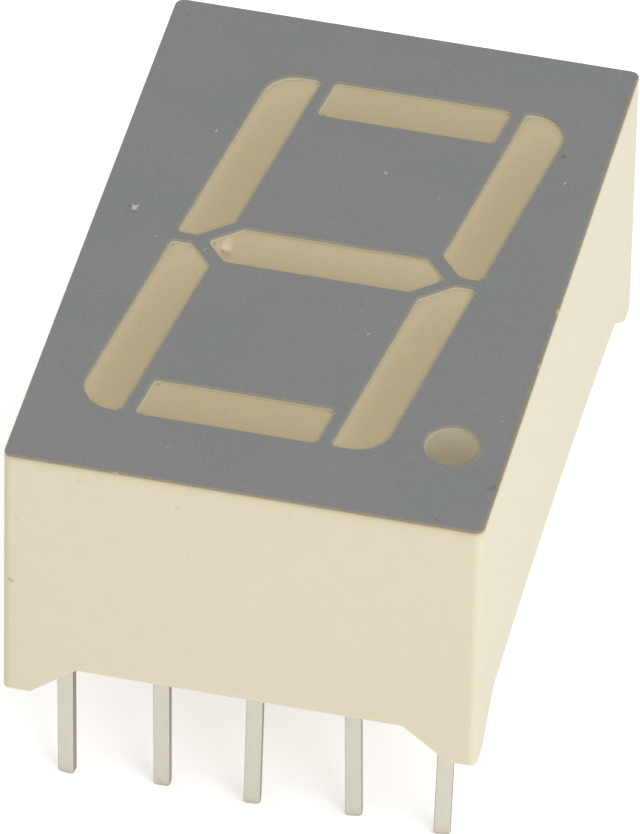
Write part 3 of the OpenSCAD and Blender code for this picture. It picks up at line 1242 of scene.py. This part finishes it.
@dataclass
class RefinedPiece:
    """A CAD node's own shape as one joined mesh, whose curves are smooth.

    Attributes:
        node: The CAD node.
        slot: A material slot's name. It is not used.
        crease: The angle above which an edge is sharp, in degrees.
        weld: The distance within which loose corners are one.
    """

    node: str
    slot: str
    crease: float = 28.0
    weld: float = 0.0002

    def build(self, *materials: bpy.types.Material) -> bpy.types.Object:
        """Makes the piece and lets it stand for its node.

        Args:
            *materials: The piece's finishes.

        Returns:
            The piece.
        """
        shape = bmesh.new()
        shape.from_mesh(bpy.data.objects[self.node].data)
        bmesh.ops.remove_doubles(shape, verts=shape.verts, dist=self.weld * MM)
        self.refine(shape)
        for face in shape.faces:
            face.smooth = True
        for edge in shape.edges:
            edge.smooth = not self.is_sharp(edge)
        piece = shown(self.node + "_finished", shape, *materials)
        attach(piece, BODY)
        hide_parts(self.node)
        LOG.info("%s: %d faces", piece.name, len(piece.data.polygons))
        return piece

    def is_sharp(self, edge: bmesh.types.BMEdge) -> bool:
        """Returns whether an edge turns by more than the crease angle."""
        return len(edge.link_faces) != 2 or edge.calc_face_angle() > math.radians(self.crease)

    def refine(self, shape: bmesh.types.BMesh) -> None:
        """Works on the joined mesh. This form leaves it as it is."""


@dataclass
class BrimmedPiece(RefinedPiece):
    """A piece whose upper face gets a brim, a narrow band along each of its outlines.

    Attributes:
        brim: Width of the brim.
        flat: How far up or down the normal of a level face has to point.
        towards: The direction of the outlines that count in full.
        least: The least that any outline counts. Below 0, outlines that face the other way differ.
    """

    brim: float = 0.1
    flat: float = 0.99
    towards: Point = (0.8, -1.0, 0.0)
    least: float = 0.0

    def refine(self, shape: bmesh.types.BMesh) -> None:
        """Lays the brim, and marks how near each corner is to the outlines.

        Args:
            shape: The piece's joined mesh.
        """
        nearness = shape.verts.layers.float.new(BRIM)
        shape.normal_update()
        upper = self.level_faces(shape, highest(self.node)[2], 1.0)
        for vert in self.outlined(shape, upper, self.brim):
            outwards = Vector((vert.normal.x, vert.normal.y, 0.0)).normalized()
            vert[nearness] = min(1.0, max(self.least, outwards.dot(self.towards)))

    def level_faces(
        self, shape: bmesh.types.BMesh, height: float, side: float
    ) -> list[bmesh.types.BMFace]:
        """Finds the faces that lie level at a height.

        Args:
            shape: The mesh.
            height: The height.
            side: 1 for faces that look up, and -1 for faces that look down.

        Returns:
            The faces.
        """
        return [
            face
            for face in shape.faces
            if face.normal.z * side > self.flat
            and max(abs(vert.co.z - height * MM) for vert in face.verts) < self.weld * MM
        ]

    def outlined(
        self, shape: bmesh.types.BMesh, faces: list[bmesh.types.BMFace], width: float
    ) -> set[bmesh.types.BMVert]:
        """Lays a band inside the outlines of some faces.

        Args:
            shape: The mesh.
            faces: The faces, which keep what lies inside the band.
            width: The band's width.

        Returns:
            The corners on the outlines.
        """
        band = bmesh.ops.inset_region(
            shape, faces=faces, thickness=width * MM, use_boundary=True, use_even_offset=True
        )
        shape.normal_update()
        inner = {vert for face in faces for vert in face.verts}
        return {vert for face in band["faces"] for vert in face.verts} - inner


@dataclass
class CastPiece(BrimmedPiece):
    """A brimmed piece whose back is a level face that creeps up along all that it touches.

    Attributes:
        creep: How far out from its outlines the back creeps up.
    """

    creep: float = 0.35

    def refine(self, shape: bmesh.types.BMesh) -> None:
        """Lays the brim and the band of the back, and marks them.

        Args:
            shape: The piece's joined mesh.
        """
        super().refine(shape)
        nearness = shape.verts.layers.float[BRIM]
        under = self.level_faces(shape, lowest(self.node)[2], -1.0)
        for vert in self.outlined(shape, under, self.creep):
            vert[nearness] = 1.0


@dataclass
class Lead(RefinedPiece):
    """A lead with its pins, whose edges are rounded and darkened with painted shade, and whose shear-cut
    sides are duller.

    Attributes:
        edge: Radius of the pins' edges.
        turn: The angle below which neighbouring faces are one, in degrees.
        plated: How far a face's normal has to lie across the row of pins on plated faces.
    """

    edge: float = 0.035
    turn: float = 1.0
    plated: float = 0.9

    def refine(self, shape: bmesh.types.BMesh) -> None:
        """Rounds the edges of each pin, and gives the duller finish to the faces that look sideways or
        down: the shear-cut sides and tips, and the rounded edges as painted shade.

        Args:
            shape: The lead's joined mesh.
        """
        bmesh.ops.dissolve_limit(
            shape, angle_limit=math.radians(self.turn), verts=shape.verts, edges=shape.edges
        )
        seat = lowest("epoxy_fill")[2] * MM
        pins = [edge for edge in shape.edges if self.is_sharp(edge) and self.foot(edge) < seat]
        bmesh.ops.bevel(
            shape,
            geom=pins,
            offset=self.edge * MM,
            offset_type="OFFSET",
            affect="EDGES",
            segments=4,
            profile=0.5,
            material=-1,
            clamp_overlap=False,
        )
        shape.normal_update()
        # Sides, tips and rounded edges take the duller finish; on the rounded edges it is painted shade.
        for face in shape.faces:
            face.material_index = int(self.foot(face) < seat and abs(face.normal.y) < self.plated)

    def foot(self, part: Union[bmesh.types.BMEdge, bmesh.types.BMFace]) -> float:
        """Returns how low an edge or a face reaches, in metres."""
        return min(vert.co.z for vert in part.verts)


@dataclass
class Housing:
    """The moulded housing and the print on its face."""

    effects: Effects

    def build(self) -> None:
        """Makes both pieces."""
        RefinedPiece("housing", "housing_plastic").build(MouldedPlastic(self.effects).build())
        BrimmedPiece("face_print", "face_ink", least=0.15).build(PrintedInk(self.effects).build())


@dataclass
class Potting:
    """The epoxy that is cast into the housing from the back."""

    effects: Effects

    def build(self) -> None:
        """Makes the piece."""
        CastPiece("epoxy_fill", "epoxy", least=-1.0).build(CastEpoxy(self.effects).build())


@dataclass
class LeadFrame:
    """The common lead and the eight segment leads."""

    effects: Effects

    def build(self) -> None:
        """Makes a piece for each lead."""
        plated = TinPlate(self.effects).build()
        sheared_and_shaded = ShearedTinAndShade(self.effects).build()
        for name in ("common_lead", *("lead_" + letter for letter in LETTERS)):
            Lead(name, "tin_plate").build(plated, sheared_and_shaded)


@dataclass
class LightSources:
    """The dice and their bond wires, which the epoxy hides."""

    effects: Effects

    def build(self) -> None:
        """Makes a piece for each die and wire."""
        crystal = DieCrystal(self.effects).build()
        gold = DrawnGold(self.effects).build()
        for letter in LETTERS:
            RefinedPiece("die_" + letter, "die").build(crystal)
            RefinedPiece("wire_" + letter, "gold_wire", weld=0.00005).build(gold)


def bearing(azimuth: float, elevation: float) -> Vector:
    """Returns the unit vector towards a bearing.

    Args:
        azimuth: Angle from the front, towards +X, in degrees.
        elevation: Angle above the level, in degrees.

    Returns:
        The vector.
    """
    turn = math.radians(azimuth)
    lift = math.radians(elevation)
    return Vector((math.sin(turn) * math.cos(lift), -math.cos(turn) * math.cos(lift), math.sin(lift)))


@dataclass(frozen=True)
class SoftLamp:
    """A square lamp that faces the object.

    Attributes:
        name: Its name.
        azimuth: Its bearing from the front, in degrees.
        elevation: Its height above the floor's plane, in degrees.
        power: Its power, in watts.
        tint: The colour of its light.
        distance: Its distance.
        side: Length of its sides.
    """

    name: str
    azimuth: float
    elevation: float
    power: float
    tint: Point = (1.0, 1.0, 1.0)
    distance: float = 600.0
    side: float = 420.0

    def build(self) -> None:
        """Makes the lamp."""
        data = bpy.data.lights.new(self.name, "AREA")
        data.shape = "SQUARE"
        data.size = self.side * MM
        data.energy = self.power
        data.color = self.tint
        lamp = bpy.data.objects.new(self.name, data)
        away = bearing(self.azimuth, self.elevation)
        lamp.location = away * self.distance * MM
        lamp.rotation_euler = away.to_track_quat("Z", "Y").to_euler()
        bpy.context.scene.collection.objects.link(lamp)


def seen_directly(sheet: Sheet) -> Socket:
    """Tells light that reaches the camera directly, or by a reflection or through glass.

    Args:
        sheet: The sheet of the floor's or the surroundings' tree.

    Returns:
        1 for that light, and 0 for the rest.
    """
    path = sheet.add("ShaderNodeLightPath", {}).outputs
    mirrored = sheet.math("MAXIMUM", path["Is Camera Ray"], path["Is Glossy Ray"])
    return sheet.math("MAXIMUM", mirrored, path["Is Transmission Ray"])


@dataclass
class Studio:
    """A pale floor in even light.

    Attributes:
        floor_side: Length of the floor's sides.
        floor_tone: The floor's colour.
        floor_glow: Light that the floor adds where it is seen, so that it reads as white.
        air: The colour of the surroundings.
        ambient: Strength of the light from all around.
        lamps: The lamps.
    """

    floor_side: float = 4000.0
    floor_tone: Colour = srgb(240, 240, 240)
    floor_glow: float = 0.46
    air: Colour = srgb(255, 255, 255)
    ambient: float = 0.68
    lamps: tuple[SoftLamp, ...] = (
        SoftLamp("key", azimuth=51.0, elevation=33.0, power=1.6),
        SoftLamp("side", azimuth=118.0, elevation=18.0, power=0.22, tint=(0.5, 0.55, 1.0)),
    )

    def build(self) -> None:
        """Makes the floor, the surroundings and the lamps."""
        self._floor()
        self._surroundings()
        for lamp in self.lamps:
            lamp.build()

    def _floor(self) -> None:
        """Makes the floor at the level of the lowest pin tip."""
        shape = bmesh.new()
        bmesh.ops.create_grid(shape, x_segments=1, y_segments=1, size=self.floor_side * MM / 2)
        bmesh.ops.translate(shape, verts=shape.verts, vec=(0.0, 0.0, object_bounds()[0][2]))
        shown("floor", shape, self._floor_finish())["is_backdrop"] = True

    def _floor_finish(self) -> bpy.types.Material:
        """Returns a matt white that can be seen through from below."""
        material = bpy.data.materials.new("pale_floor")
        material.use_nodes = True
        sheet = Sheet(material.node_tree)
        matt = sheet.add("ShaderNodeBsdfDiffuse", {"Color": self.floor_tone})
        glow = sheet.times(seen_directly(sheet), self.floor_glow)
        lit = sheet.add("ShaderNodeEmission", {"Strength": glow})
        added = sheet.add("ShaderNodeAddShader", {0: matt.outputs[0], 1: lit.outputs[0]})
        clear = sheet.add("ShaderNodeBsdfTransparent", {})
        behind = sheet.add("ShaderNodeNewGeometry", {}).outputs["Backfacing"]
        mixed = sheet.add("ShaderNodeMixShader", {0: behind, 1: added.outputs[0], 2: clear.outputs[0]})
        output = material.node_tree.nodes["Material Output"]
        sheet.plug(output.inputs["Surface"], mixed.outputs[0])
        return material

    def _surroundings(self) -> None:
        """Makes even light from all around, and white where the surroundings are seen."""
        world = bpy.data.worlds.new("studio")
        world.use_nodes = True
        bpy.context.scene.world = world
        sheet = Sheet(world.node_tree)
        background = world.node_tree.nodes["Background"]
        sheet.plug(background.inputs["Color"], self.air)
        strength = sheet.lerp(seen_directly(sheet), self.ambient, 1.0)
        sheet.plug(background.inputs["Strength"], strength)


@dataclass(frozen=True)
class CameraStation:
    """Where the camera stands and what it sees.

    Attributes:
        aim: The point in the middle of the view.
        distance: Distance from that point.
        azimuth: Bearing from the front, in degrees.
        elevation: Angle above the level, in degrees.
        roll: Turn about the line of sight, in degrees.
        lens: Focal length.
        sensor: Height of the sensor.
    """

    aim: Point = (-0.044, -0.21, 2.774)
    distance: float = 365.76
    azimuth: float = 12.307
    elevation: float = 40.933
    roll: float = 1.269
    lens: float = 601.96
    sensor: float = 36.0

    def build(self) -> None:
        """Makes the camera and lets the scene use it."""
        data = bpy.data.cameras.new("camera")
        data.sensor_fit = "VERTICAL"
        data.sensor_height = self.sensor
        data.lens = self.lens
        back = bearing(self.azimuth, self.elevation)
        level = Vector((0, 0, 1)).cross(back).normalized()
        turned = Matrix.Rotation(math.radians(self.roll), 3, back)
        right = turned @ level
        up = back.cross(right)
        place = Matrix((right, up, back)).transposed().to_4x4()
        place.translation = (Vector(self.aim) + back * self.distance) * MM
        camera = bpy.data.objects.new("camera", data)
        camera.matrix_world = place
        bpy.context.scene.collection.objects.link(camera)
        bpy.context.scene.camera = camera


def main() -> None:
    """Builds the whole scene around the frame."""
    logging.basicConfig(level=logging.INFO, format="%(name)s: %(message)s")
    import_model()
    bpy.context.scene.view_settings.view_transform = "Standard"
    CameraStation().build()
    effects = Effects()
    for assembly in (Housing, Potting, LeadFrame, LightSources):
        assembly(effects).build()
        LOG.info("%s is dressed", assembly.__name__)
    Studio().build()


if __name__ == "__main__":
    main()
